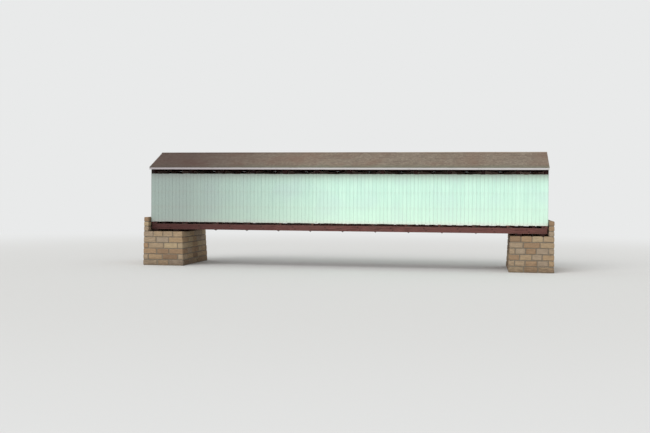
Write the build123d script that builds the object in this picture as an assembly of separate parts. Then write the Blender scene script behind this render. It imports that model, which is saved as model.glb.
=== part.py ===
from build123d import *
import os
from math import atan2, cos, radians, sin, tan

# A covered timber bridge of one span, in millimetres. X runs along the bridge, Y runs from the
# photographed side to the far side, Z is up. The origin is in the middle of the abutments' feet.

# Main sizes
bridge_length = 29260
truss_spacing = 4400
truss_height = 4200
panel_count = 12
seat_height = 2560

# Chords, each of three leaves bolted together over packing blocks
leaf_count = 3
leaf_thickness = 110
leaf_gap = 40
bottom_chord_depth = 400
top_chord_depth = 330
packing_length = 300

# Braces, angle blocks, rods and posts of the trusses
brace_depth = 180
brace_width = 130
counter_clearance = 10
block_nose = 45
rod_diameter = 32
rod_sides = 8
rod_slot = 40
plate_width = 120
plate_thickness = 20
rod_end = 45
end_post_width = 200

# Floor
floor_beam_width = 200
floor_beam_depth = 300
floor_beams_per_panel = 2
stringer_count = 5
stringer_width = 100
stringer_depth = 150
stringer_edge = 250
deck_thickness = 75
deck_edge_gap = 45
runner_width = 700
runner_thickness = 40
runner_spacing = 1600
guard_size = 150
guard_edge = 25

# Bracing between the trusses
lateral_size = 100
lateral_end_gap = 60
lower_lateral_height = 50
upper_lateral_lift = 20
upper_lateral_depth = 200
tie_beam_width = 250
tie_beam_depth = 300
tie_beam_offset = 480
knee_brace_reach = 260
knee_brace_foot = 100
knee_brace_thickness = 100

# Roof
roof_pitch = 23.3
rafter_plate_width = 150
rafter_plate_depth = 220
rafters_per_panel = 4
rafter_width = 50
rafter_depth = 110
birdsmouth_depth = 37
eave_reach = 375
roof_board_thickness = 25
shingle_thickness = 20
shingle_drip = 25
gable_overhang = 25
gable_drip = 15
cap_thickness = 20
cap_width = 150
fascia_thickness = 25
fascia_depth = 150
rake_board_depth = 150
stud_width = 100
stud_depth = 50
stud_spacing = 700
studs_each_side = 2

# Cladding
girt_depth = 100
girt_thickness = 50
girt_count = 4
lowest_girt = 600
siding_thickness = 25
siding_foot = 560
portal_width = 3700
portal_height = 3165
portal_corner = 500

# Abutments of squared stone
seat_length = 2600
abutment_width = 6200
batter = 0.05
backwall_thickness = 400
backwall_gap = 25
pedestal_depth = 600
pedestal_side_gap = 50
bed_timber_width = 300
bed_timber_depth = 150
bed_timber_overhang = 100
outer_bed_setback = 180
inner_bed_setback = 520

# Sizes that follow along the bridge
half_length = bridge_length / 2
end_post_inner = half_length - end_post_width
end_point = end_post_inner + block_nose
panel = 2 * end_point / panel_count
points = [panel * i - end_point for i in range(panel_count + 1)]

# Sizes that follow across it, given for the far side and mirrored for the near one
chord_width = leaf_count * leaf_thickness + (leaf_count - 1) * leaf_gap
leaf_pitch = leaf_thickness + leaf_gap
gap_centres = [(i - leaf_count / 2 + 1) * leaf_pitch for i in range(leaf_count - 1)]
chord_inner = truss_spacing / 2 - chord_width / 2
chord_outer = truss_spacing / 2 + chord_width / 2
siding_inner = chord_outer + girt_thickness
siding_outer = siding_inner + siding_thickness
deck_half_width = chord_inner - deck_edge_gap
stringer_spread = 2 * (deck_half_width - stringer_edge) - stringer_width

# Heights
chord_foot = seat_height + bed_timber_depth
brace_foot = chord_foot + bottom_chord_depth
truss_top = chord_foot + truss_height
brace_top = truss_top - top_chord_depth
beam_top = brace_foot + floor_beam_depth
stringer_top = beam_top + stringer_depth
deck_top = stringer_top + deck_thickness
tie_top = truss_top + tie_beam_depth
plate_top = tie_top + rafter_plate_depth
siding_bottom = chord_foot + siding_foot

# Roof slope: heights at a distance y from the middle, on top of each layer
slope = tan(radians(roof_pitch))
upright = 1 / cos(radians(roof_pitch))
tail = chord_outer + eave_reach
eave = tail + fascia_thickness + shingle_drip
gable_end = half_length + siding_thickness + gable_overhang


def rafter_under(y):
    return plate_top - birdsmouth_depth + (chord_outer - y) * slope


def rafter_over(y):
    return rafter_under(y) + rafter_depth * upright


def board_over(y):
    return rafter_over(y) + roof_board_thickness * upright


def shingle_over(y):
    return board_over(y) + shingle_thickness * upright


# Angle of the braces: their square ends sit on blocks whose slope is square to them
clear_height = brace_top - brace_foot
brace_angle = atan2(clear_height, panel)
for _ in range(30):
    rise = clear_height - brace_depth * cos(brace_angle)
    run = panel - 2 * block_nose - brace_depth * sin(brace_angle)
    brace_angle = atan2(rise, run)
seat_run = brace_depth * sin(brace_angle)
seat_rise = brace_depth * cos(brace_angle)


def timber(x, y, z):
    """A squared piece between the given pairs of limits."""
    piece = Box(x[1] - x[0], y[1] - y[0], z[1] - z[0], align=(Align.MIN, Align.MIN, Align.MIN))
    return Pos(x[0], y[0], z[0]) * piece


def side_profile(outline, y):
    """A piece cut to an outline in X and Z, between two limits across the bridge."""
    face = Plane.XZ * Polygon(*outline, align=None)
    return Pos(0, y[0], 0) * extrude(face, amount=y[1] - y[0], dir=(0, 1, 0))


def cross_profile(outline, x):
    """A piece cut to an outline in Y and Z, between two limits along the bridge."""
    face = Plane.YZ * Polygon(*outline, align=None)
    return Pos(x[0], 0, 0) * extrude(face, amount=x[1] - x[0], dir=(1, 0, 0))


def plan_profile(outline, z):
    """A piece cut to an outline in X and Y, between two heights."""
    face = Polygon(*outline, align=None)
    return Pos(0, 0, z[0]) * extrude(face, amount=z[1] - z[0], dir=(0, 0, 1))


def far_or_near(side, y):
    """Limits given for the far side, mirrored for side -1."""
    return sorted((side * y[0], side * y[1]))


def chord(side, z):
    """Three leaves with open slots between them, closed by packing blocks at mid panel."""
    plan = Rectangle(bridge_length, chord_width)
    for i, x in enumerate(points):
        start = x - panel / 2 + packing_length / 2 if i > 0 else -end_post_inner
        stop = x + panel / 2 - packing_length / 2 if i < panel_count else end_post_inner
        for y in gap_centres:
            plan -= Pos((start + stop) / 2, y) * Rectangle(stop - start, leaf_gap)
    return Pos(0, side * truss_spacing / 2, z[0]) * extrude(plan, amount=z[1] - z[0], dir=(0, 0, 1))


def brace(low, heading, y):
    """A brace from the lower panel point low towards heading, 1 right and -1 left."""
    outline = [
        (block_nose, seat_rise),
        (block_nose + seat_run, 0),
        (panel - block_nose, clear_height - seat_rise),
        (panel - block_nose - seat_run, clear_height),
    ]
    return side_profile([(low + heading * x, brace_foot + z) for x, z in outline], y)


def panel_braces(side, across, main):
    """Main braces rise towards the middle of the span, and counter braces away from it."""
    pieces = []
    for i in range(panel_count):
        rises_right = (i < panel_count / 2) == main
        low, heading = (points[i], 1) if rises_right else (points[i + 1], -1)
        for y in across:
            centre = side * truss_spacing / 2 + y
            pieces.append(brace(low, heading, (centre - brace_width / 2, centre + brace_width / 2)))
    return pieces


def angle_block(x, foot, up, side, faces):
    """A cast block with a sloping seat on each face that braces reach, slotted for the rods."""
    seats = [
        [(face * (block_nose + seat_run), 0), (face * block_nose, seat_rise)] for face in faces
    ]
    inside = len(faces) == 2
    outline = seats[0] + (seats[1][::-1] if inside else [(faces[0] * block_nose, 0)])
    middle = side * truss_spacing / 2
    across = (middle - chord_width / 2, middle + chord_width / 2)
    block = side_profile([(x + dx, foot + up * dz) for dx, dz in outline], across)
    if inside:
        for y in gap_centres:
            block -= Pos(x, middle + y, foot) * Box(rod_slot, rod_slot, 3 * seat_rise)
    return block


def angle_blocks(side):
    pieces = []
    for i, x in enumerate(points):
        faces = [1] if i == 0 else [-1] if i == panel_count else [-1, 1]
        pieces.append(angle_block(x, brace_foot, 1, side, faces))
        pieces.append(angle_block(x, brace_top, -1, side, faces))
    return pieces


def rod_pair(x, side):
    """Two iron rods, drawn with few sides, with a washer plate under and over the chords."""
    middle = side * truss_spacing / 2
    across = (middle - chord_width / 2, middle + chord_width / 2)
    along = (x - plate_width / 2, x + plate_width / 2)
    pair = timber(along, across, (chord_foot - plate_thickness, chord_foot))
    pair += timber(along, across, (truss_top, truss_top + plate_thickness))
    length = truss_height + 2 * (plate_thickness + rod_end)
    rod = extrude(RegularPolygon(rod_diameter / 2, rod_sides), amount=length, dir=(0, 0, 1))
    for y in gap_centres:
        pair += Pos(x, middle + y, chord_foot - plate_thickness - rod_end) * rod
    return pair


def end_posts():
    pieces = []
    for end in (-1, 1):
        for side in (-1, 1):
            x = far_or_near(end, (end_post_inner, half_length))
            y = far_or_near(side, (chord_inner, chord_outer))
            pieces.append(timber(x, y, (brace_foot, brace_top)))
    return pieces


def floor_beams():
    pieces = []
    for x in points[:-1]:
        for k in range(floor_beams_per_panel):
            middle = x + panel * (k + 1) / (floor_beams_per_panel + 1)
            along = (middle - floor_beam_width / 2, middle + floor_beam_width / 2)
            pieces.append(timber(along, (-chord_outer, chord_outer), (brace_foot, beam_top)))
    return pieces


def stringers():
    pieces = []
    for k in range(stringer_count):
        y = stringer_spread * (k / (stringer_count - 1) - 0.5)
        across = (y - stringer_width / 2, y + stringer_width / 2)
        pieces.append(timber((-half_length, half_length), across, (beam_top, stringer_top)))
    return pieces


def runner_planks():
    pieces = []
    for side in (-1, 1):
        y = side * runner_spacing / 2
        across = (y - runner_width / 2, y + runner_width / 2)
        height = (deck_top, deck_top + runner_thickness)
        pieces.append(timber((-half_length, half_length), across, height))
    return pieces


def wheel_guards():
    pieces = []
    outer = deck_half_width - guard_edge
    for side in (-1, 1):
        across = far_or_near(side, (outer - guard_size, outer))
        pieces.append(timber((-half_length, half_length), across, (deck_top, deck_top + guard_size)))
    return pieces


def crossed_pair(outline, foot):
    """Two braces that cross over one another in plan, one resting on the other."""
    pair = []
    for level, heading in enumerate((1, -1)):
        low = foot + level * lateral_size
        turned = [(x, heading * y) for x, y in outline]
        pair.append(plan_profile(turned, (low, low + lateral_size)))
    return pair


def lower_laterals():
    """Crossed braces from chord to chord, in every bay that spans the water."""
    pieces = []
    for i in range(1, panel_count - 1):
        start, stop = points[i] + lateral_end_gap / 2, points[i + 1] - lateral_end_gap / 2
        width = lateral_size / sin(atan2(2 * chord_inner, stop - start))
        outline = [(start, -chord_inner), (start + width, -chord_inner)]
        outline += [(stop, chord_inner), (stop - width, chord_inner)]
        pieces += crossed_pair(outline, chord_foot + lower_lateral_height)
    return pieces


# Tie beams: one over each pair of end posts, the others beside the rods
tie_starts = [-half_length]
tie_starts += [x + tie_beam_offset - tie_beam_width / 2 for x in points[1:-1]]
tie_starts += [half_length - tie_beam_width]


def tie_beams():
    across = (-siding_inner, siding_inner)
    return [timber((x, x + tie_beam_width), across, (truss_top, tie_top)) for x in tie_starts]


def upper_laterals():
    """Crossed braces from tie beam to tie beam: one whole, the other in two halves that butt on it."""
    pieces = []
    foot = truss_top + upper_lateral_lift
    heights = (foot, foot + upper_lateral_depth)
    for this, following in zip(tie_starts[:-1], tie_starts[1:]):
        start, stop = this + tie_beam_width, following
        width = lateral_size / cos(atan2(2 * chord_inner, stop - start))
        outline = [(start, -chord_inner), (start, width - chord_inner)]
        outline += [(stop, chord_inner), (stop, chord_inner - width)]
        whole = plan_profile(outline, heights)
        halves = plan_profile([(x, -y) for x, y in outline], heights) - whole
        pieces += [whole, *halves.solids()]
    return pieces


def knee_braces():
    """Short struts from the top chords up to the tie beams."""
    outline = [
        (chord_inner, truss_top - knee_brace_reach),
        (chord_inner, truss_top - knee_brace_reach + knee_brace_foot),
        (chord_inner - knee_brace_reach + knee_brace_foot, truss_top),
        (chord_inner - knee_brace_reach, truss_top),
    ]
    pieces = []
    for x in tie_starts:
        middle = x + tie_beam_width / 2
        along = (middle - knee_brace_thickness / 2, middle + knee_brace_thickness / 2)
        for side in (-1, 1):
            pieces.append(cross_profile([(side * y, z) for y, z in outline], along))
    return pieces


def rafter_plate(side):
    across = far_or_near(side, (chord_outer - rafter_plate_width, chord_outer))
    return timber((-half_length, half_length), across, (tie_top, plate_top))


def rafters(side):
    """Rafters with a plumb cut at the ridge and tail, notched over the plate."""
    notch = chord_outer - birdsmouth_depth / slope
    outline = [
        (0, rafter_under(0)),
        (notch, plate_top),
        (chord_outer, plate_top),
        (chord_outer, rafter_under(chord_outer)),
        (tail, rafter_under(tail)),
        (tail, rafter_over(tail)),
        (0, rafter_over(0)),
    ]
    outline = [(side * y, z) for y, z in outline]
    count = panel_count * rafters_per_panel + 1
    spacing = (bridge_length - rafter_width) / (count - 1)
    starts = [k * spacing - half_length for k in range(count)]
    return [cross_profile(outline, (x, x + rafter_width)) for x in starts]


def gable_studs():
    """Upright studs between each end tie beam and the end rafters."""
    pieces = []
    for end in (-1, 1):
        along = far_or_near(end, (half_length - stud_depth, half_length))
        for k in range(-studs_each_side, studs_each_side + 1):
            low, high = k * stud_spacing - stud_width / 2, k * stud_spacing + stud_width / 2
            outline = [(low, tie_top), (high, tie_top), (high, rafter_under(abs(high)))]
            outline += [(0, rafter_under(0))] if k == 0 else []
            outline += [(low, rafter_under(abs(low)))]
            pieces.append(cross_profile(outline, along))
    return pieces


def roof_layer(side, reach, end, under, over):
    """One slope of boards or shingles, from the ridge down to the distance reach."""
    outline = [(0, under(0)), (reach, under(reach)), (reach, over(reach)), (0, over(0))]
    return cross_profile([(side * y, z) for y, z in outline], (-end, end))


def ridge_cap():
    """Two boards nailed into an inverted V over the last shingles."""
    top = cap_thickness * upright
    right = [(0, shingle_over(0)), (cap_width, shingle_over(cap_width))]
    right += [(cap_width, shingle_over(cap_width) + top), (0, shingle_over(0) + top)]
    left = [(-y, z) for y, z in right[2:0:-1]]
    end = gable_end + gable_drip
    return cross_profile(right + left, (-end, end))


def fascia(side):
    """The painted board on the rafter tails, bevelled to the shingles above it."""
    outer = tail + fascia_thickness
    bottom = board_over(outer) - fascia_depth
    outline = [(tail, bottom), (outer, bottom), (outer, board_over(outer)), (tail, board_over(tail))]
    return cross_profile([(side * y, z) for y, z in outline], (-gable_end, gable_end))


def rake_boards(end):
    """The pair of boards under the roof's edge on one gable, joined at the peak."""
    drop = rake_board_depth * upright
    right = [(0, rafter_over(0)), (tail, rafter_over(tail))]
    right += [(tail, rafter_over(tail) - drop), (0, rafter_over(0) - drop)]
    left = [(-y, z) for y, z in right[2:0:-1]]
    start = half_length + siding_thickness
    return cross_profile(right + left, far_or_near(end, (start, start + siding_thickness)))


def girts(side):
    """Rails along the chords and braces, which the upright boards are nailed to."""
    across = far_or_near(side, (chord_outer, siding_inner))
    first, last = lowest_girt, truss_height - top_chord_depth / 2 - girt_depth / 2
    feet = [first + (last - first) * k / (girt_count - 1) for k in range(girt_count)]
    feet = [chord_foot + foot for foot in feet]
    return [timber((-half_length, half_length), across, (foot, foot + girt_depth)) for foot in feet]


def siding(side):
    across = far_or_near(side, (siding_inner, siding_outer))
    return timber((-half_length, half_length), across, (siding_bottom, truss_top))


def portal_siding(end):
    """The boarded gable wall with its roadway opening, cut off across the upper corners."""
    eave_height = rafter_over(siding_outer)
    gable = [(-siding_outer, siding_bottom), (siding_outer, siding_bottom)]
    gable += [(siding_outer, eave_height), (0, rafter_over(0)), (-siding_outer, eave_height)]
    half = portal_width / 2
    head = deck_top + portal_height
    shoulder = head - portal_corner
    opening = [(-half, siding_bottom), (-half, shoulder), (portal_corner - half, head)]
    opening += [(half - portal_corner, head), (half, shoulder), (half, siding_bottom)]
    along = far_or_near(end, (half_length, half_length + siding_thickness))
    return cross_profile(gable, along) - cross_profile(opening, along)


# Abutments: distances out from the middle of the bridge
front_face = half_length - seat_length
backwall = half_length + siding_thickness + backwall_gap
back_face = backwall + backwall_thickness
pedestal_half = min(portal_width / 2, chord_inner) - pedestal_side_gap


def abutment(end):
    """A battered block of masonry with a seat, a step for the floor and a backwall."""
    foot = front_face - batter * seat_height
    side = [(foot, 0), (front_face, seat_height), (backwall, seat_height)]
    side += [(backwall, deck_top), (back_face, deck_top), (back_face, 0)]
    half = abutment_width / 2
    top = half - batter * deck_top
    front = [(-half, 0), (half, 0), (top, deck_top), (-top, deck_top)]
    body = side_profile([(end * x, z) for x, z in side], (-half, half))
    body &= cross_profile(front, far_or_near(end, (foot, back_face)))
    step = far_or_near(end, (backwall - pedestal_depth, backwall))
    return body + timber(step, (-pedestal_half, pedestal_half), (seat_height, beam_top))


def bed_timbers():
    """Timbers under the chords: a long one at the front of each seat, short ones at the back."""
    pieces = []
    reach = chord_outer + bed_timber_overhang
    height = (seat_height, chord_foot)
    for end in (-1, 1):
        start = front_face + inner_bed_setback
        inner = far_or_near(end, (start, start + bed_timber_width))
        pieces.append(timber(inner, (-reach, reach), height))
        stop = half_length - outer_bed_setback
        outer = far_or_near(end, (stop - bed_timber_width, stop))
        for side in (-1, 1):
            pieces.append(timber(outer, far_or_near(side, (chord_inner, reach)), height))
    return pieces


main_offset = brace_width + counter_clearance
lower_chord = (chord_foot, brace_foot)
upper_chord = (brace_top, truss_top)
nodes = {
    "bed_timbers": bed_timbers(),
    "end_posts": end_posts(),
    "floor_beams": floor_beams(),
    "stringers": stringers(),
    "deck_planks": timber(
        (-half_length, half_length), (-deck_half_width, deck_half_width), (stringer_top, deck_top)
    ),
    "runner_planks": runner_planks(),
    "wheel_guards": wheel_guards(),
    "lower_lateral_braces": lower_laterals(),
    "tie_beams": tie_beams(),
    "upper_lateral_braces": upper_laterals(),
    "knee_braces": knee_braces(),
    "gable_studs": gable_studs(),
    "ridge_cap": ridge_cap(),
}
for name, side in (("front", -1), ("rear", 1)):
    nodes[name + "_bottom_chord"] = chord(side, lower_chord)
    nodes[name + "_top_chord"] = chord(side, upper_chord)
    nodes[name + "_main_braces"] = panel_braces(side, (-main_offset, main_offset), True)
    nodes[name + "_counter_braces"] = panel_braces(side, (0,), False)
    nodes[name + "_angle_blocks"] = angle_blocks(side)
    nodes[name + "_rods"] = [rod_pair(x, side) for x in points[1:-1]]
    nodes[name + "_rafter_plate"] = rafter_plate(side)
    nodes[name + "_rafters"] = rafters(side)
    nodes[name + "_roof_boards"] = roof_layer(side, tail, gable_end, rafter_over, board_over)
    nodes[name + "_shingles"] = roof_layer(
        side, eave, gable_end + gable_drip, board_over, shingle_over
    )
    nodes[name + "_fascia"] = fascia(side)
    nodes[name + "_girts"] = girts(side)
    nodes[name + "_siding"] = siding(side)
for name, end in (("left", -1), ("right", 1)):
    nodes[name + "_abutment"] = abutment(end)
    nodes[name + "_portal_siding"] = portal_siding(end)
    nodes[name + "_rake_boards"] = rake_boards(end)

os.makedirs("parts", exist_ok=True)
for name, piece in nodes.items():
    solids = piece if isinstance(piece, list) else [piece]
    shape = Compound(children=[solid for each in solids for solid in each.solids()])
    export_step(shape, "parts/" + name + ".step")
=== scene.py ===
import math

import bpy
import numpy as np
from mathutils import Matrix, Vector


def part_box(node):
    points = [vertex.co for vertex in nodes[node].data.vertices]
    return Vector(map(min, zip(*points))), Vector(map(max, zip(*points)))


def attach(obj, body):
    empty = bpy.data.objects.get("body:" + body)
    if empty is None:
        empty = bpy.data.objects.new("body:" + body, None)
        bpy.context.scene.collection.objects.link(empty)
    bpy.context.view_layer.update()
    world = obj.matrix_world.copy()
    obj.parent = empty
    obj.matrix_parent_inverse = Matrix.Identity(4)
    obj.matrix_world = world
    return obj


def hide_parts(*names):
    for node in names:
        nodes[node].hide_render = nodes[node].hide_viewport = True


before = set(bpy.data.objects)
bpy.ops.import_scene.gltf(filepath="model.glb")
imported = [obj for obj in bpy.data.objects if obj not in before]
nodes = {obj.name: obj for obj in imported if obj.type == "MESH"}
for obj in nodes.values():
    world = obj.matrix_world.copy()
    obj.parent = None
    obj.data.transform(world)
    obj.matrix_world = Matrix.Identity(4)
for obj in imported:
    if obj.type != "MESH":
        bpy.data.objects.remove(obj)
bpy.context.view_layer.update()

scene = bpy.context.scene
scene.view_settings.view_transform = "Standard"
outwards = {"front": -1, "rear": 1, "left": -1, "right": 1}  # sides face along Y, ends along X
print("frame loaded,", len(nodes), "CAD nodes")


# Colours and nodes

def linear(hexColour):
    # one sRGB hex value as linear red, green, blue and alpha
    parts = [int(hexColour[i:i + 2], 16) / 255 for i in (1, 3, 5)]
    return [c / 12.92 if c <= 0.04045 else ((c + 0.055) / 1.055) ** 2.4 for c in parts] + [1.0]


def setInputs(tree, node, inputs):
    # an input is given a number, a hex colour, or the node or output that it is linked to
    for name, value in dict(inputs).items():
        if isinstance(value, bpy.types.Node):
            value = value.outputs[0]
        if isinstance(value, bpy.types.NodeSocket):
            tree.links.new(value, node.inputs[name])
        else:
            node.inputs[name].default_value = linear(value) if isinstance(value, str) else value


def addNode(tree, kind, inputs=(), **settings):
    node = tree.nodes.new("ShaderNode" + kind)
    for name, value in settings.items():
        setattr(node, name, value)
    setInputs(tree, node, inputs)
    return node


def startMaterial(name):
    material = bpy.data.materials.new(name)
    material.use_nodes = True
    return material, material.node_tree


def setStops(ramp, stops):
    # stops are (place, hex colour) pairs, from low to high
    elements = ramp.color_ramp.elements
    while len(elements) < len(stops):
        elements.new(0.5)
    for element, (place, colour) in zip(elements, stops):
        element.position = place
        element.color = linear(colour)


# Camera, as worked out from the photograph: a 50 mm lens, a little off level
camera = {
    "lens": 50,
    "sensor": 36,
    "reach": 2000,
    "place": (10.0, -67.7, 5.22),
    "leftTurn": 9.81,
    "downTilt": 1.24,
    "roll": 0.39,
}


def placeCamera():
    data = bpy.data.cameras.new("photoCamera")
    data.lens = camera["lens"]
    data.sensor_width = camera["sensor"]
    data.clip_end = camera["reach"]
    eye = bpy.data.objects.new("photoCamera", data)
    scene.collection.objects.link(eye)
    turn = Matrix.Rotation(math.radians(camera["leftTurn"]), 4, "Z")
    tilt = Matrix.Rotation(math.radians(90 - camera["downTilt"]), 4, "X")
    roll = Matrix.Rotation(math.radians(camera["roll"]), 4, "Z")
    eye.matrix_world = Matrix.Translation(camera["place"]) @ turn @ tilt @ roll
    scene.camera = eye


# Light: an even pale dome all round and one large soft lamp high on the left of the camera
light = {
    "sky": "#ffffff",
    "skyStrength": 0.68,
    "seenSky": "#e9eaea",
    "lampStrength": 1.6,
    "lampAngle": 50,
    "lampTurn": (52, 0, -28),
    "floor": "#dcdcda",
    "floorReach": 900,
    "fadeFrom": 22,
    "fadeTo": 75,
}


def placeLight():
    world = bpy.data.worlds.new("paleSky")
    scene.world = world
    world.use_nodes = True
    tree = world.node_tree
    sky = tree.nodes["Background"]
    setInputs(tree, sky, {"Color": light["sky"], "Strength": light["skyStrength"]})
    seen = addNode(tree, "Background", {"Color": light["seenSky"], "Strength": 1.0})
    ray = addNode(tree, "LightPath")
    direct = addNode(tree, "Math", {0: ray.outputs["Is Camera Ray"], 1: ray.outputs["Is Glossy Ray"]},
                     operation="MAXIMUM")
    anySeen = addNode(tree, "Math", {0: direct, 1: ray.outputs["Is Transmission Ray"]}, operation="MAXIMUM")
    mix = addNode(tree, "MixShader", {0: anySeen, 1: sky, 2: seen})
    setInputs(tree, tree.nodes["World Output"], {"Surface": mix})
    lamp = bpy.data.lights.new("softLamp", "SUN")
    lamp.energy = light["lampStrength"]
    lamp.angle = math.radians(light["lampAngle"])
    holder = bpy.data.objects.new("softLamp", lamp)
    holder.rotation_euler = [math.radians(turn) for turn in light["lampTurn"]]
    scene.collection.objects.link(holder)


def floorMaterial():
    # matt pale paper that fades into the backdrop's colour far from the bridge
    material, tree = startMaterial("pale matt floor paper")
    shader = tree.nodes["Principled BSDF"]
    setInputs(tree, shader, {"Base Color": light["floor"], "Roughness": 0.95, "Specular IOR Level": 0.1})
    place = addNode(tree, "TexCoord")
    distance = addNode(tree, "VectorMath", {0: place.outputs["Object"]}, operation="LENGTH")
    far = addNode(tree, "MapRange", {"Value": distance.outputs["Value"], "From Min": light["fadeFrom"],
                  "From Max": light["fadeTo"]}, interpolation_type="SMOOTHERSTEP")
    ray = addNode(tree, "LightPath")
    seen = addNode(tree, "Math", {0: far, 1: ray.outputs["Is Camera Ray"]}, operation="MULTIPLY")
    backdrop = addNode(tree, "Emission", {"Color": light["seenSky"], "Strength": 1.0})
    mix = addNode(tree, "MixShader", {0: seen, 1: shader, 2: backdrop})
    setInputs(tree, tree.nodes["Material Output"], {"Surface": mix})
    return material


def placeFloor():
    deselect()
    bpy.ops.mesh.primitive_plane_add(size=2 * light["floorReach"], location=(0, 0, 0))
    floor = nameNew("studioFloor")
    floor.data.materials.append(floorMaterial())


# Modelling steps shared by the pieces

def deselect():
    bpy.ops.object.select_all(action="DESELECT")


def select(*pieces):
    deselect()
    for piece in pieces:
        piece.select_set(True)
    bpy.context.view_layer.objects.active = pieces[0]


def editAll(piece):
    # edit mode, with the whole piece selected
    select(piece)
    bpy.ops.object.mode_set(mode="EDIT")
    bpy.ops.mesh.select_all(action="SELECT")


def nameNew(name):
    # names the primitive that was just added
    piece = bpy.context.object
    piece.name = piece.data.name = name
    return piece


def startBlock(name, low, high):
    # a squared piece between two corners, with its object left at the origin
    deselect()
    bpy.ops.mesh.primitive_cube_add(size=1, location=(0, 0, 0))
    piece = nameNew(name)
    editAll(piece)
    bpy.ops.transform.resize(value=[b - a for a, b in zip(low, high)])
    bpy.ops.transform.translate(value=[(a + b) / 2 for a, b in zip(low, high)])
    bpy.ops.object.mode_set(mode="OBJECT")
    return piece


def applyModifier(piece, kind, **settings):
    select(piece)
    bpy.ops.object.modifier_add(type=kind)
    modifier = piece.modifiers[-1]
    for name, value in settings.items():
        setattr(modifier, name, value)
    bpy.ops.object.modifier_apply(modifier=modifier.name)


def bevelAll(piece, width):
    applyModifier(piece, "BEVEL", width=width, limit_method="ANGLE")


def repeat(piece, count, step):
    # copies of the piece in a straight row, all in one mesh
    applyModifier(piece, "ARRAY", count=count, use_relative_offset=False, use_constant_offset=True,
                  constant_offset_displace=step)


def boardRow(name, low, high, axis, sizes, eased=True):
    # boards of about one width side by side along an axis, and their corners board by board
    count = round((high[axis] - low[axis]) / sizes["width"])
    pitch = (high[axis] - low[axis]) / count
    first, last, step = list(low), list(high), [0, 0, 0]
    first[axis] += sizes["gap"] / 2
    last[axis] = low[axis] + pitch - sizes["gap"] / 2
    step[axis] = pitch
    piece = startBlock(name, first, last)
    if eased:
        bevelAll(piece, sizes["edge"])
    repeat(piece, count, step)
    return piece, cornersOf(piece).reshape(count, -1, 3)


def turnFaces(piece):
    editAll(piece)
    bpy.ops.mesh.flip_normals()
    bpy.ops.object.mode_set(mode="OBJECT")


def cornersOf(piece):
    corners = np.empty(len(piece.data.vertices) * 3)
    piece.data.vertices.foreach_get("co", corners)
    return corners.reshape(-1, 3)


def setCorners(piece, corners):
    piece.data.vertices.foreach_set("co", corners.reshape(-1))
    piece.data.update()


def partsOf(mesh):
    # a number for each vertex, the same all over one loose part
    edges = np.empty(len(mesh.edges) * 2, dtype=np.int64)
    mesh.edges.foreach_get("vertices", edges)
    edges = edges.reshape(-1, 2)
    labels = np.arange(len(mesh.vertices))
    while True:
        low = np.minimum(labels[edges[:, 0]], labels[edges[:, 1]])
        lower = labels.copy()
        np.minimum.at(lower, edges[:, 0], low)
        np.minimum.at(lower, edges[:, 1], low)
        lower = lower[lower]
        if (lower == labels).all():
            break
        labels = lower
    return np.unique(labels, return_inverse=True)[1]


def ownAxes(points):
    # the long way of a timber, then the level way across it, then the third way
    middle = points - points.mean(axis=0)
    long = np.linalg.eigh(middle.T @ middle)[1][:, 2]
    level = np.cross((0, 0, 1), long)
    level = np.array((1.0, 0, 0)) if np.linalg.norm(level) < 0.1 else level / np.linalg.norm(level)
    return np.stack([long, level, np.cross(long, level)], axis=1)


def layGrain(piece, seed, axes=None):
    # "grain" holds each part's own lengthwise, cross and depth coordinates in metres, shifted by
    # up to farShift so that no two parts look alike; "rim" the same as shares from -1 to 1 of the
    # part's half size, "half" that half size, and "tone" one random value a part
    farShift = 40
    draw = np.random.default_rng(seed)
    corners = cornersOf(piece)
    labels = partsOf(piece.data)
    grain, rim, half = (np.zeros_like(corners) for k in range(3))
    tone = np.zeros(len(corners))
    order = np.argsort(labels, kind="stable")
    starts = np.searchsorted(labels[order], np.arange(labels.max() + 2))
    for part in range(labels.max() + 1):
        own = order[starts[part]:starts[part + 1]]
        points = corners[own] - (corners[own].max(axis=0) + corners[own].min(axis=0)) / 2
        turned = points @ (np.array(axes).T if axes else ownAxes(points))
        turned -= (turned.max(axis=0) + turned.min(axis=0)) / 2
        extent = np.maximum(np.abs(turned).max(axis=0), 0.0001)
        grain[own] = turned + draw.uniform(-farShift, farShift, 3)
        rim[own] = turned / extent
        half[own] = extent
        tone[own] = draw.random()
    for name, values in (("grain", grain), ("rim", rim), ("half", half)):
        layer = piece.data.attributes.new(name, "FLOAT_VECTOR", "POINT")
        layer.data.foreach_set("vector", values.reshape(-1))
    piece.data.attributes.new("tone", "FLOAT", "POINT").data.foreach_set("value", tone)


# turns a small part that was modelled standing up on the origin to face another way
facings = {
    "up": ((1, 0, 0), (0, 1, 0), (0, 0, 1)),
    "down": ((1, 0, 0), (0, -1, 0), (0, 0, -1)),
    "front": ((1, 0, 0), (0, 0, -1), (0, 1, 0)),
    "rear": ((1, 0, 0), (0, 0, 1), (0, -1, 0)),
    "left": ((0, 0, -1), (0, 1, 0), (1, 0, 0)),
    "right": ((0, 0, 1), (0, 1, 0), (-1, 0, 0)),
}


def scatter(part, places, facing, turn, seed):
    # one copy of the part at each place, each turned a little on its own axis
    shape = cornersOf(part)
    repeat(part, len(places), (1, 0, 0))
    turns = np.random.default_rng(seed).uniform(-turn, turn, len(places))[:, None]
    across = shape[:, 0] * np.cos(turns) - shape[:, 1] * np.sin(turns)
    along = shape[:, 0] * np.sin(turns) + shape[:, 1] * np.cos(turns)
    turned = np.stack([across, along, np.broadcast_to(shape[:, 2], across.shape)], axis=2)
    world = turned @ np.array(facings[facing]).T + np.array(places)[:, None, :]
    setCorners(part, world.reshape(-1, 3))
    return part


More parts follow.
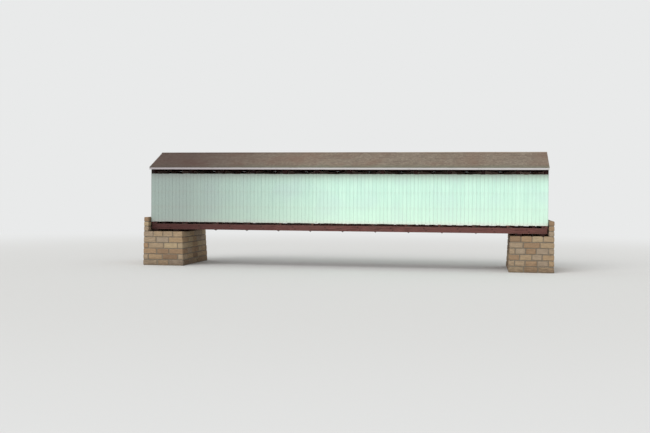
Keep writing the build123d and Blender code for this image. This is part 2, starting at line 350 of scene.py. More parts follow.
def camelName(node):
    # a node of one word belongs to the floor, and its piece needs a name of its own
    words = node.split("_")
    first, *rest = words if len(words) > 1 else ["floor"] + words
    return first + "".join(word.capitalize() for word in rest)


def copyNode(nodeName, pieceName):
    # a clean copy of a CAD node, its loose triangles merged into flat faces
    piece = bpy.data.objects.new(pieceName, nodes[nodeName].data.copy())
    piece.data.name = pieceName
    scene.collection.objects.link(piece)
    piece.data.materials.clear()
    editAll(piece)
    bpy.ops.mesh.remove_doubles(threshold=0.0004)
    bpy.ops.mesh.dissolve_limited(angle_limit=math.radians(1))
    bpy.ops.object.mode_set(mode="OBJECT")
    return piece


def join(pieces, name):
    select(*pieces)
    if len(pieces) > 1:
        bpy.ops.object.join()
    pieces[0].name = pieces[0].data.name = name
    return pieces[0]


def cutLengths(piece, cuts, gap):
    # saws a piece that runs along X into lengths with a narrow gap at each cut
    ends = [-100, *cuts, 100]  # the outer two lie far past the piece
    lengths = []
    for start, stop in zip(ends[:-1], ends[1:]):
        length = bpy.data.objects.new(piece.name, piece.data.copy())
        scene.collection.objects.link(length)
        editAll(length)
        for x, way in ((start + gap / 2, -1), (stop - gap / 2, 1)):
            bpy.ops.mesh.select_all(action="SELECT")
            bpy.ops.mesh.bisect(plane_co=(x, 0, 0), plane_no=(way, 0, 0), use_fill=True, clear_outer=True)
        bpy.ops.object.mode_set(mode="OBJECT")
        lengths.append(length)
    name = piece.name
    bpy.data.objects.remove(piece)
    return join(lengths, name)


def finishPiece(piece, material, replaced, seed, angle=30, axes=None):
    piece.data.materials.clear()
    piece.data.materials.append(material)
    select(piece)
    bpy.ops.object.shade_smooth_by_angle(angle=math.radians(angle))
    layGrain(piece, seed, axes)
    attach(piece, "root")
    if replaced:
        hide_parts(*replaced)


def dressNode(node, finish, material, seed, spacing=None, name=None):
    # a CAD node's own shape, cut to even lengths where it has a spacing, and its edges eased
    piece = copyNode(node, name or camelName(node))
    if spacing:
        low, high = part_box(node)
        count = round((high[0] - low[0]) / spacing)
        cuts = [low[0] + (high[0] - low[0]) * k / count for k in range(1, count)]
        piece = cutLengths(piece, cuts, finish["gap"])
    bevelAll(piece, finish["edge"])
    finishPiece(piece, material, [node], seed)


# Materials; the trees' shade over the left end is painted into the colours, most of all past this X
paintedShadeEnd = -12.0


def streaksAlong(tree, scale, detail, roughness=0.5, distortion=0.0):
    # noise drawn out along the grain; scale is in streaks a metre, lengthwise, across and in depth
    grain = addNode(tree, "Attribute", attribute_name="grain")
    drawn = addNode(tree, "Mapping", {"Vector": grain.outputs["Vector"], "Scale": scale})
    return addNode(tree, "TexNoise", {"Vector": drawn, "Scale": 1.0, "Detail": detail,
                   "Roughness": roughness, "Distortion": distortion})


def tonedBy(tree, pattern, spread):
    # each part lifts or lowers its pattern by its own random tone
    tone = addNode(tree, "Attribute", attribute_name="tone")
    shift = addNode(tree, "Math", {0: tone.outputs["Fac"], 1: spread, 2: -spread / 2},
                    operation="MULTIPLY_ADD")
    return addNode(tree, "Math", {0: pattern, 1: shift}, operation="ADD")


def placeOf(tree):
    # where a point is on the bridge, as a vector and as its X, Y and Z
    place = addNode(tree, "TexCoord").outputs["Object"]
    return place, addNode(tree, "SeparateXYZ", {"Vector": place}).outputs


def insetFrom(tree):
    # how far, in metres, a point is from its part's ends (X), edges (Y) and faces (Z)
    rim = addNode(tree, "Attribute", attribute_name="rim")
    half = addNode(tree, "Attribute", attribute_name="half")
    share = addNode(tree, "VectorMath", {0: rim.outputs["Vector"]}, operation="ABSOLUTE")
    rest = addNode(tree, "VectorMath", {0: (1, 1, 1), 1: share}, operation="SUBTRACT")
    inset = addNode(tree, "VectorMath", {0: rest, 1: half.outputs["Vector"]}, operation="MULTIPLY")
    return addNode(tree, "SeparateXYZ", {"Vector": inset}).outputs


def cover(tree, under, over, value, span=(0, 1), amount=(0, 1), way="MIX"):
    # lays one colour over another, by amount[0] where the value is span[0] up to amount[1] at span[1]
    share = addNode(tree, "MapRange", {"Value": value, "From Min": span[0], "From Max": span[1],
                    "To Min": amount[0], "To Max": amount[1]})
    mix = addNode(tree, "Mix", {"A": under, "B": over, "Factor": share}, data_type="RGBA", blend_type=way)
    return mix.outputs["Result"]


def setSurface(tree, colour, height, relief, roughness, gloss=0.5, metallic=0.0):
    # relief is the bump's strength and its depth in metres
    bump = addNode(tree, "Bump", {"Height": height, "Strength": relief[0], "Distance": relief[1]})
    setInputs(tree, tree.nodes["Principled BSDF"], {"Base Color": colour, "Normal": bump,
              "Roughness": roughness, "Specular IOR Level": gloss, "Metallic": metallic})


def timberMaterial(name, stops, patch, roughness):
    # sawn softwood left bare: long dull grain, dark drying checks, paler rubbed edges, no shine
    material, tree = startMaterial(name)
    streak = streaksAlong(tree, (1.6, 70, 70), 6.0, 0.62, 0.5)  # grain in streaks of 600 x 15 mm
    ramp = addNode(tree, "ValToRGB", {"Fac": tonedBy(tree, streak, 0.3)})
    setStops(ramp, stops)
    place, axes = placeOf(tree)
    damp = addNode(tree, "TexNoise", {"Vector": place, "Scale": 0.7, "Detail": 4.0, "Roughness": 0.6})
    colour = cover(tree, ramp, patch, damp, (0.45, 0.75), (0, 0.55))  # patches 1 to 2 m across
    # painted shade from the trees, darkening the timber towards the left end
    colour = cover(tree, colour, "#34191a", axes["X"], (-2.0, paintedShadeEnd), (0, 0.6))
    split = streaksAlong(tree, (0.9, 38, 38), 2.0)
    check = addNode(tree, "MapRange", {"Value": split, "From Min": 0.36, "From Max": 0.32})
    colour = cover(tree, colour, "#6e5a52", check, way="MULTIPLY")  # drying checks 5 to 8 mm wide
    inset = insetFrom(tree)
    # dark end grain, made this dark partly as painted shade for beam ends that sit in shade
    colour = cover(tree, colour, "#5a4844", inset["X"], (0.006, 0.05), (0.9, 0), "MULTIPLY")
    away = addNode(tree, "Math", {0: inset["Y"], 1: inset["Z"]}, operation="MAXIMUM")
    colour = cover(tree, colour, "#a58f82", away, (0.004, 0.014), (0.35, 0))  # rubbed edges
    height = addNode(tree, "Math", {0: streak, 1: check}, operation="SUBTRACT")
    setSurface(tree, colour, height, (0.5, 0.004), roughness, 0.25)
    return material


# Nails: two in each board at every row, and the rust that rain draws down from them
nails = {
    "highestRow": 7.873,
    "rowSpacing": 1.128,
    "shares": (0.22, 0.78),  # places across a board
    "radius": 0.006,
    "crownRadius": 0.0036,
    "height": 0.004,  # half of it stands out of the board
    "strayUp": 0.02,
    "strayAcross": 0.008,
    "fromEnds": 0.04,
    "rustLength": 0.3,
    "rustAmount": 0.5,
    "rustReach": 0.045,  # half a streak's width, as a share of half the board's
    "seed": 38,
}


def nailRust(tree, height, across):
    below = addNode(tree, "Math", {0: nails["highestRow"], 1: height}, operation="SUBTRACT")
    rows = addNode(tree, "Math", {0: below, 1: nails["rowSpacing"]}, operation="DIVIDE")
    share = addNode(tree, "Math", {0: rows}, operation="FRACT")
    fade = addNode(tree, "MapRange", {"Value": share, "To Min": nails["rustAmount"], "To Max": 0.0,
                   "From Max": nails["rustLength"] / nails["rowSpacing"]})
    fromMiddle = addNode(tree, "Math", {0: across}, operation="ABSOLUTE")
    near = addNode(tree, "Math", {0: fromMiddle, 1: 1 - 2 * nails["shares"][0], 2: nails["rustReach"]},
                   operation="COMPARE")
    return addNode(tree, "Math", {0: fade, 1: near}, operation="MULTIPLY")


def paintMaterial(name, colours):
    # thin old oil paint on sawn boards: chalky, streaked by rain, worn to grey wood at the edges
    material, tree = startMaterial(name)
    streak = streaksAlong(tree, (0.7, 34, 34), 5.0, 0.6)  # rain streaks of 1400 x 30 mm
    ramp = addNode(tree, "ValToRGB", {"Fac": tonedBy(tree, streak, 0.12)})
    setStops(ramp, ((0.28, colours["dull"]), (0.55, colours["paint"]), (0.8, colours["pale"])))
    place, axes = placeOf(tree)
    stain = addNode(tree, "TexNoise", {"Vector": place, "Scale": 0.45, "Detail": 4.0, "Roughness": 0.5})
    colour = cover(tree, ramp, colours["stain"], stain, (0.46, 0.66), (0, 0.75))  # 1 to 3 m across
    low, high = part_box("front_siding")[0][2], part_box("front_siding")[1][2]
    for part, reach, most in (("lower", 2.2, 0.4), ("foot", 0.3, 0.5)):  # paler towards the foot of the boards
        colour = cover(tree, colour, colours[part], axes["Z"], (low, low + reach), (most, 0))
    rise = addNode(tree, "MapRange", {"Value": axes["Z"], "From Min": high - 1.5,
                   "From Max": high, "To Max": 0.95})
    head = addNode(tree, "Math", {0: rise, 1: 4.0}, operation="POWER")
    colour = cover(tree, colour, colours["head"], head)  # painted shade under the eave, darkest at the top of the boards
    # painted shade from the trees, greying the paint towards the left end
    colour = cover(tree, colour, colours["shaded"], axes["X"], (0.0, paintedShadeEnd), (0, 0.8))
    inset = insetFrom(tree)
    colour = cover(tree, colour, colours["joint"], inset["Y"], (0.004, 0.025), (0.15, 0))
    worn = streaksAlong(tree, (3.0, 45, 45), 8.0, 0.7)
    byEnd = addNode(tree, "MapRange", {"Value": inset["X"], "From Max": 0.35, "To Min": 0.1, "To Max": 0.0})
    likely = addNode(tree, "Math", {0: worn, 1: byEnd}, operation="ADD")
    wear = addNode(tree, "MapRange", {"Value": likely, "From Min": 0.67, "From Max": 0.71})
    colour = cover(tree, colour, colours["bare"], wear)  # flakes 10 to 20 mm wide, most near the ends
    if "inside" in colours:  # boards that are nailed, with backs that were never painted
        rim = addNode(tree, "Attribute", attribute_name="rim")
        share = addNode(tree, "SeparateXYZ", {"Vector": rim.outputs["Vector"]}).outputs
        colour = cover(tree, colour, colours["rust"], nailRust(tree, axes["Z"], share["Y"]))
        wood = addNode(tree, "ValToRGB", {"Fac": worn})
        setStops(wood, ((0.3, colours["inside"][0]), (0.7, colours["inside"][1])))
        colour = cover(tree, colour, wood, share["Z"], (-0.7, -0.9))
    height = addNode(tree, "Math", {0: wear, 1: -0.4, 2: streak}, operation="MULTIPLY_ADD")
    setSurface(tree, colour, height, (0.35, 0.003), 0.72, 0.3)
    return material


def shingleMaterial():
    # split wooden shingles, weathered grey brown, reddish where newer and mossy near the eave
    material, tree = startMaterial("weathered wooden shingles")
    streak = streaksAlong(tree, (8, 60, 60), 5.0, 0.65)  # splits of 120 x 17 mm, drawn coarse
    ramp = addNode(tree, "ValToRGB", {"Fac": tonedBy(tree, streak, 0.3)})
    setStops(ramp, ((0.15, "#665b50"), (0.4, "#8a7e6f"), (0.6, "#978b7b"), (0.8, "#aba193")))
    place, axes = placeOf(tree)
    patches = addNode(tree, "TexNoise", {"Vector": place, "Scale": 0.4, "Detail": 6.0, "Roughness": 0.6})
    colour = cover(tree, ramp, "#846757", patches, (0.46, 0.68), (0, 0.55))  # about 2.5 m across
    along = addNode(tree, "Mapping", {"Vector": place, "Scale": (0.35, 0.0, 8.0)})
    bands = addNode(tree, "TexNoise", {"Vector": along, "Scale": 1.0, "Detail": 3.0, "Roughness": 0.6})
    # a few courses weather alike, for 3 to 6 m
    colour = cover(tree, colour, "#6d5d52", bands, (0.52, 0.72), (0, 0.5))
    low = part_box("front_shingles")[0][2]
    wavy = addNode(tree, "Math", {0: patches, 1: 0.3, 2: axes["Z"]}, operation="MULTIPLY_ADD")
    colour = cover(tree, colour, "#737a68", wavy, (low + 0.2, low + 0.42), (0.6, 0))  # moss
    # painted shade from the trees, darkening the roof towards the left end
    colour = cover(tree, colour, "#473031", axes["X"], (-3.0, paintedShadeEnd), (0, 0.7))
    inset = insetFrom(tree)
    colour = cover(tree, colour, "#5b5048", inset["X"], (0.0, 0.03), (0.55, 0))  # wet butts
    setSurface(tree, colour, streak, (0.6, 0.003), 0.85, 0.2)
    return material


def stoneMaterial():
    # squared sandstone: grainy and matt, tan to reddish from stone to stone, dark where damp
    material, tree = startMaterial("squared sandstone")
    tone = addNode(tree, "Attribute", attribute_name="tone")
    each = addNode(tree, "ValToRGB", {"Fac": tone.outputs["Fac"]})
    setStops(each, ((0.0, "#8b735c"), (0.25, "#a1866a"), (0.5, "#ab9374"), (0.75, "#a08f7c"),
                    (1.0, "#b5a07f")))
    place, axes = placeOf(tree)
    bed = addNode(tree, "Mapping", {"Vector": place, "Scale": (1, 1, 3.5)})
    # bedding bands about 100 mm apart, grit drawn coarse at 20 mm, pick marks about 60 mm apart
    layers = addNode(tree, "TexNoise", {"Vector": bed, "Scale": 3.0, "Detail": 8.0, "Roughness": 0.65})
    grit = addNode(tree, "TexNoise", {"Vector": place, "Scale": 55.0, "Detail": 4.0, "Roughness": 0.7})
    tooled = addNode(tree, "TexNoise", {"Vector": place, "Scale": 16.0, "Detail": 6.0, "Roughness": 0.75})
    shade = addNode(tree, "MapRange", {"Value": layers, "From Min": 0.3, "From Max": 0.7,
                    "To Min": 0.72, "To Max": 1.12})
    fine = addNode(tree, "MapRange", {"Value": grit, "From Min": 0.3, "From Max": 0.7,
                   "To Min": 0.85, "To Max": 1.1})
    both = addNode(tree, "Math", {0: shade, 1: fine}, operation="MULTIPLY")
    shaded = addNode(tree, "VectorMath", {0: each, "Scale": both}, operation="SCALE")
    wavy = addNode(tree, "Math", {0: layers, 1: 0.9, 2: axes["Z"]}, operation="MULTIPLY_ADD")
    colour = cover(tree, shaded, "#57483c", wavy, (0.55, 1.15), (0.55, 0))  # damp band above the foot
    marked = addNode(tree, "Math", {0: tooled, 1: 0.8, 2: layers}, operation="MULTIPLY_ADD")
    height = addNode(tree, "Math", {0: grit, 1: 0.35, 2: marked}, operation="MULTIPLY_ADD")
    setSurface(tree, colour, height, (0.7, 0.012), 0.9, 0.2)
    return material


def mortarMaterial():
    # lime mortar and rubble set back in the joints: pale grey brown, crumbly and matt
    material, tree = startMaterial("lime mortar")
    place = addNode(tree, "TexCoord").outputs["Object"]  # rubble and crumbs up to 40 mm
    crumb = addNode(tree, "TexNoise", {"Vector": place, "Scale": 24.0, "Detail": 6.0, "Roughness": 0.7})
    ramp = addNode(tree, "ValToRGB", {"Fac": crumb})
    setStops(ramp, ((0.3, "#5f564b"), (0.7, "#8c8271")))
    setSurface(tree, ramp, crumb, (0.8, 0.01), 0.95)
    return material


def ironMaterial():
    # forged and cast iron, long rusted: dark brown, rough, with dull orange bloom
    material, tree = startMaterial("rusted iron")
    place = addNode(tree, "TexCoord").outputs["Object"]  # blooms 70 mm across, with specks of 5 mm
    bloom = addNode(tree, "TexNoise", {"Vector": place, "Scale": 14.0, "Detail": 8.0, "Roughness": 0.7})
    ramp = addNode(tree, "ValToRGB", {"Fac": bloom})
    setStops(ramp, ((0.35, "#2b2320"), (0.55, "#46332b"), (0.75, "#6e4632")))
    rough = addNode(tree, "MapRange", {"Value": bloom, "To Min": 0.55, "To Max": 0.9})
    setSurface(tree, ramp, bloom, (0.4, 0.002), rough, metallic=0.5)
    return material


sawnTimber = timberMaterial("bare sawn timber", ((0.28, "#432827"), (0.5, "#6c4540"), (0.72, "#875c56")),
                            "#62473f", 0.85)
# a paler copy of the timber as painted light, so the braces show lit in the dark strip under the eaves
paintedLightTimber = timberMaterial("paler sawn timber with painted light", ((0.28, "#8a7263"), (0.5, "#b0968a"), (0.72, "#c6ada0")),
                           "#9b8478", 0.85)
wornPlank = timberMaterial("worn floor planks", ((0.28, "#54463d"), (0.5, "#7b6a5c"), (0.72, "#998877")),
                           "#807668", 0.8)
# head is painted shade under the eave, shaded is painted shade over the left end
sidingPaint = paintMaterial("pale green paint on boards", {
    "paint": "#d3f8e5", "pale": "#dcfcec", "dull": "#c2e8d8", "stain": "#cdece1",
    "lower": "#e3fde2", "foot": "#e8e0d8", "head": "#8f9387", "shaded": "#8b918f",
    "joint": "#938f93", "bare": "#a39f94", "rust": "#a8836a", "inside": ("#6f5c50", "#a08c7c")})
# head is painted shade under the eave, shaded is painted shade over the left end
trimPaint = paintMaterial("white paint on trim", {
    "paint": "#dadadc", "pale": "#e6e6e8", "dull": "#c0bebf", "stain": "#cfccca",
    "lower": "#cfccca", "foot": "#c9c7c6", "head": "#c9c7c6", "shaded": "#a59ba0",
    "joint": "#a7a3a0", "bare": "#918a83"})
roofShingle = shingleMaterial()
sandstone = stoneMaterial()
mortar = mortarMaterial()
rustedIron = ironMaterial()
print("materials made")


def makeNails(side, boards, across, rows):
    # across is the axis that runs over the boards
    depth = 1 - across
    outward = outwards[side]
    low, high = boards.min(axis=1), boards.max(axis=1)
    face = (boards[..., depth] * outward).max(axis=1) * outward
    draw = np.random.default_rng(nails["seed"])
    places = []
    for k in range(len(boards)):
        for share in nails["shares"]:
            for row in rows:
                place = [0.0, 0.0, row + draw.uniform(-nails["strayUp"], nails["strayUp"])]
                place[across] = low[k, across] + (high[k, across] - low[k, across]) * share
                place[across] += draw.uniform(-nails["strayAcross"], nails["strayAcross"])
                place[depth] = face[k]
                if low[k, 2] + nails["fromEnds"] < place[2] < high[k, 2] - nails["fromEnds"]:
                    places.append(place)
    deselect()
    bpy.ops.mesh.primitive_cone_add(vertices=6, radius1=nails["radius"], radius2=nails["crownRadius"],
                                    depth=nails["height"])
    piece = scatter(nameNew(side + "Nails"), places, side, math.pi, seed=33)
    finishPiece(piece, rustedIron, [], seed=45)


# Upright boards along both sides
sideBoards = {
    "width": 0.275,
    "gap": 0.004,
    "thickness": 0.021,
    "edge": 0.003,
    "raggedFoot": 0.02,
    "raggedHead": 0.025,
    "seed": 31,
}


def makeSideBoards(side):
    low, high = (Vector(corner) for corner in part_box(side + "_siding"))
    outward = outwards[side]
    outer = low.y if outward < 0 else high.y
    inner = outer - outward * sideBoards["thickness"]
    piece, boards = boardRow(side + "Boards", (low.x, min(outer, inner), low.z),
                             (high.x, max(outer, inner), high.z), 0, sideBoards)
    draw = np.random.default_rng(sideBoards["seed"] + outward)
    each = (len(boards), 1)
    atFoot = boards[..., 2] < (low.z + high.z) / 2
    boards[..., 2] += atFoot * draw.uniform(0, sideBoards["raggedFoot"], each)
    boards[..., 2] -= ~atFoot * draw.uniform(0, sideBoards["raggedHead"], each)
    spare = high.y - low.y - sideBoards["thickness"]
    boards[..., 1] -= outward * draw.uniform(0, spare, each)
    setCorners(piece, boards.reshape(-1, 3))
    finishPiece(piece, sidingPaint, [side + "_siding"], seed=40 + outward,
                axes=((0, 0, 1), (1, 0, 0), (0, outward, 0)))
    girts = [nails["highestRow"] - nails["rowSpacing"] * k for k in range(1, 5)]
    makeNails(side, boards, 0, girts)


# Boarded gables, cut to the CAD sheet's outline so that the way through stays open
portalBoards = {"width": 0.25, "gap": 0.007, "edge": 0.003, "spare": 0.1}


def makePortalBoards(end):
    node = end + "_portal_siding"
    low, high = (Vector(corner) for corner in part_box(node))
    spare = Vector((portalBoards["spare"], 0, portalBoards["spare"]))  # cut away again by the outline
    piece = boardRow(end + "PortalBoards", low - spare, high + spare, 1, portalBoards, eased=False)[0]
    cutter = copyNode(node, end + "PortalCutter")
    applyModifier(piece, "BOOLEAN", operation="INTERSECT", solver="EXACT", object=cutter)
    bpy.data.objects.remove(cutter)
    bevelAll(piece, portalBoards["edge"])
    finishPiece(piece, sidingPaint, [node], seed=50 + (end == "left"),
                axes=((0, 0, 1), (0, 1, 0), (outwards[end], 0, 0)))
    labels, corners = partsOf(piece.data), cornersOf(piece)
    limits = np.array([[corners[labels == k].min(axis=0), corners[labels == k].max(axis=0)]
                       for k in range(labels.max() + 1)])
    posts = [nails["highestRow"] - nails["rowSpacing"] * k for k in range(5)]
    tieBeam = sum(corner[2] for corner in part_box("tie_beams")) / 2
    makeNails(end, limits, 1, posts + [tieBeam])


for side in ("front", "rear"):
    makeSideBoards(side)
for end in ("left", "right"):
    makePortalBoards(end)
print("boards made")


# Both slopes of the roof; their layers are modelled flat and then tipped into place. The boards
# end at the ridge where the shingles begin, so the two boxes give the pitch
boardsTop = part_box("front_roof_boards")[1][2]
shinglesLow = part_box("front_shingles")[0]
roofPitch = math.atan2(boardsTop - shinglesLow[2], -shinglesLow[1])


def slopeLayer(node):
    # a layer's length down the slope, its thickness, and the height of its underside at the ridge
    low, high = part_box(node)
    reach = max(abs(low[1]), abs(high[1]))
    upright = high[2] - low[2] - reach * math.tan(roofPitch)
    thickness = upright * math.cos(roofPitch)
    return (reach - thickness * math.sin(roofPitch)) / math.cos(roofPitch), thickness, high[2] - upright


def tipUp(piece, side, ridge):
    # from X along the eave, Y down the slope and Z out of the roof to the slope's real place
    flat = cornersOf(piece)
    outward = outwards[side]
    across = flat[:, 1] * math.cos(roofPitch) + flat[:, 2] * math.sin(roofPitch)
    upward = ridge - flat[:, 1] * math.sin(roofPitch) + flat[:, 2] * math.cos(roofPitch)
    setCorners(piece, np.stack([flat[:, 0], outward * across, upward], axis=1))
    if outward < 0:
        turnFaces(piece)


def slopeAxes(side):
    down = (0, outwards[side] * math.cos(roofPitch), -math.sin(roofPitch))
    out = (0, outwards[side] * math.sin(roofPitch), math.cos(roofPitch))
    return down, out


# Shingles in courses, the lowest course doubled; each is a wedge, thin at its head
shingles = {
    "exposure": 0.14,
    "overlap": 0.045,
    "width": 0.15,
    "gap": 0.005,
    "butt": 0.011,
    "head": 0.004,
    "below": 0.001,  # of the CAD sheet's top
    "starterButt": 0.007,
    "starterHead": 0.001,
    "raggedButt": 0.007,
    "raggedTop": 0.002,
    "raggedJoint": 0.05,
    "seed": 61,
}


def makeShingles(side):
    low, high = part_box(side + "_shingles")
    length, layer, ridge = slopeLayer(side + "_shingles")
    rows = round(length / shingles["exposure"])
    exposure = length / rows
    columns = round((high[0] - low[0]) / shingles["width"])
    pitch = (high[0] - low[0]) / columns
    piece = startBlock(side + "Shingles", (0, -shingles["overlap"], 0), (pitch, exposure, layer))
    corners = cornersOf(piece)
    atButt = corners[:, 1] > 0
    atTop = corners[:, 2] > layer / 2
    top = np.where(atButt, layer - shingles["below"], shingles["head"])
    corners[:, 2] = np.where(atTop, top, np.where(atButt, top - shingles["butt"], 0.0))
    setCorners(piece, corners)
    repeat(piece, columns, (pitch, 0, 0))
    repeat(piece, rows + 1, (0, exposure, 0))
    draw = np.random.default_rng(shingles["seed"] + (side == "rear"))
    grid = cornersOf(piece).reshape(rows + 1, columns, 8, 3)
    joints = pitch * np.arange(columns + 1) + low[0]
    ragged = shingles["raggedJoint"]
    stagger = draw.uniform(-ragged, ragged, (rows + 1, columns + 1))
    stagger[:, [0, -1]] = 0
    joints = joints + stagger
    half = shingles["gap"] / 2
    atRight = grid[0, 0, :, 0] > pitch / 2
    grid[..., 0] = np.where(atRight, joints[:, 1:, None] - half, joints[:, :-1, None] + half)
    atButt = grid[0, 0, :, 1] > 0
    grid[..., 1] -= atButt * draw.uniform(0, shingles["raggedButt"], (rows + 1, columns, 1))
    grid[..., 2] -= atButt * draw.uniform(0, shingles["raggedTop"], (rows + 1, columns, 1))
    grid[rows, :, :, 1] -= exposure  # the doubled course lies flat under the lowest one
    grid[rows, :, :, 2] = np.where(atButt, shingles["starterButt"], shingles["starterHead"]) * atTop
    grid[..., 1] = np.maximum(grid[..., 1], 0)
    setCorners(piece, grid.reshape(-1, 3))
    tipUp(piece, side, ridge)
    down, out = slopeAxes(side)
    finishPiece(piece, roofShingle, [side + "_shingles"],
                seed=70 + (side == "rear"), axes=(down, (1, 0, 0), out))


for side in ("front", "rear"):
    makeShingles(side)
print("shingles made")


# Timbers that keep their CAD shape, with sawn edges eased and the long ones cut to lengths
timbers = {
    "edge": 0.006,
    "gap": 0.004,
    "middle": ("bed_timbers", "end_posts", "floor_beams", "stringers", "wheel_guards",
               "lower_lateral_braces", "tie_beams", "upper_lateral_braces", "knee_braces", "gable_studs"),
    "bothSides": ("bottom_chord", "top_chord", "main_braces", "counter_braces", "rafter_plate",
                  "rafters", "girts"),
    "lengths": {"stringers": 4.9, "wheel_guards": 4.3, "front_rafter_plate": 4.9, "rear_rafter_plate": 4.9,
                "front_girts": 3.7, "rear_girts": 3.7},
}


def makeTimbers():
    paired = [side + "_" + part for part in timbers["bothSides"] for side in ("front", "rear")]
    for number, node in enumerate([*timbers["middle"], *paired]):
        # the upper lateral braces get the paler timber as painted light
        timber = paintedLightTimber if node == "upper_lateral_braces" else sawnTimber
        dressNode(node, timbers, timber, 100 + number, timbers["lengths"].get(node))


makeTimbers()
print("timbers made")


# Painted trim and the ridge's two boards, in lengths as boards come
trim = {"length": 4.9, "ridgeLength": 3.7, "gap": 0.003, "edge": 0.003}


def makeTrim():
    for number, node in enumerate(("front_fascia", "rear_fascia")):
        dressNode(node, trim, trimPaint, 140 + number, trim["length"])
    for number, node in enumerate(("left_rake_boards", "right_rake_boards")):
        dressNode(node, trim, trimPaint, 150 + number)
    dressNode("ridge_cap", trim, roofShingle, 160, trim["ridgeLength"], "ridgeBoards")


makeTrim()
print("trim made")


# Floor planks laid across, and the two tracks of runner planks over them
planks = {"width": 0.24, "gap": 0.006, "edge": 0.005, "raggedEnd": 0.025, "seed": 171}
runners = {"trackWidth": 0.7, "boards": 3, "gap": 0.006, "length": 3.66, "shortest": 0.3}


def makePlanks():
    low, high = (Vector(corner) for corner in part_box("deck_planks"))
    piece, boards = boardRow("deckPlanks", low, high, 0, planks)
    nearEnd = boards[..., 1] < 0
    draw = np.random.default_rng(planks["seed"])
    shorter = draw.uniform(0, planks["raggedEnd"], (len(boards), 2))
    boards[..., 1] += np.where(nearEnd, shorter[:, :1], -shorter[:, 1:])
    setCorners(piece, boards.reshape(-1, 3))
    finishPiece(piece, wornPlank, ["deck_planks"], seed=172,
                axes=((0, 1, 0), (1, 0, 0), (0, 0, 1)))


def makeRunners():
    low, high = (Vector(corner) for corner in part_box("runner_planks"))
    width = runners["trackWidth"] / runners["boards"]
    length, shortest, half = runners["length"], runners["shortest"], runners["gap"] / 2
    rows = []
    for track in (low.y, high.y - runners["trackWidth"]):
        for k in range(runners["boards"]):
            start = track + k * width
            row = startBlock("runnerRow", (low.x, start + half, low.z),
                             (high.x, start + width - half, high.z))
            joints = np.arange(low.x, high.x, length) + length * (k % 2) / 2
            cuts = [x for x in joints if low.x + shortest < x < high.x - shortest]
            rows.append(cutLengths(row, cuts, runners["gap"]))
    piece = join(rows, "runnerPlanks")
    bevelAll(piece, planks["edge"])
    finishPiece(piece, wornPlank, ["runner_planks"], seed=181,
                axes=((1, 0, 0), (0, 1, 0), (0, 0, 1)))


makePlanks()
makeRunners()
print("floor made")


# Boards under the shingles, seen from inside and along the eaves
roofBoards = {
    "width": 0.2,
    "gap": 0.008,
    "edge": 0.002,
    "length": 3.66,
    "endGap": 0.004,
    "step": 1.2,  # how far the joints move on from row to row
    "shortest": 0.4,
}


def makeRoofBoards(side):
    node = side + "_roof_boards"
    low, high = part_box(node)
    length, thickness, ridge = slopeLayer(node)
    count = round(length / roofBoards["width"])
    pitch = length / count
    step, half = roofBoards["step"], roofBoards["gap"] / 2
    rows = []
    for k in range(count):
        row = startBlock("roofRow", (low[0], k * pitch + half, 0),
                         (high[0], (k + 1) * pitch - half, thickness))
        first = low[0] + step + step * (k % 3)
        cuts = np.arange(first, high[0] - roofBoards["shortest"], roofBoards["length"])
        rows.append(cutLengths(row, cuts, roofBoards["endGap"]))
    piece = join(rows, camelName(node))
    bevelAll(piece, roofBoards["edge"])
    tipUp(piece, side, ridge)
    down, out = slopeAxes(side)
    finishPiece(piece, sawnTimber, [node], seed=190 + (side == "rear"),
                axes=((1, 0, 0), down, out))


for side in ("front", "rear"):
    makeRoofBoards(side)
print("roof boards made")


# Abutments: courses of squared, rock-faced stones round a core of mortar and rubble
stones = {
    "courseHeight": 0.43,
    "length": (0.8, 1.15),
    "width": 0.85,
    "depth": 0.42,
    "uneven": 0.1,
    "joint": 0.014,
    "margin": 0.05,
    "stand": 0.03,
    "cornerSink": 1.05,  # a stone's corners are sunk a little more than its edges
    "rough": 0.008,
    "chipped": 0.009,
    "hewn": 0.022,
    "recess": 0.05,
    "batter": 0.05,
    "stepHalf": 1.8,
    "stepDepth": 0.6,
    "gapToPortal": 0.025,
}


def runOfStones(draw, start, stop):
    # joints at uneven distances from start to stop
    count = max(1, round((stop - start) / draw.uniform(*stones["length"])))
    joints = np.linspace(start, stop, count + 1)
    joints[1:-1] += draw.uniform(-stones["uneven"], stones["uneven"], count - 1)
    return list(zip(joints[:-1], joints[1:]))


def evenRows(low, high, size):
    edges = np.linspace(low, high, max(1, round((high - low) / size)) + 1)
    return list(zip(edges[:-1], edges[1:]))


def ringStones(draw, out, across, height, number):
    # one course round a rectangle; the corner stones lie one way, then the other
    (u0, u1), (v0, v1), depth = out, across, stones["depth"]
    inset = depth if number % 2 else 0
    blocks = []
    for edge in ((u0, u0 + depth), (u1 - depth, u1)):
        blocks += [(edge, run, height) for run in runOfStones(draw, v0 + depth - inset, v1 - depth + inset)]
    for edge in ((v0, v0 + depth), (v1 - depth, v1)):
        blocks += [(run, edge, height) for run in runOfStones(draw, u0 + inset, u1 - inset)]
    return blocks


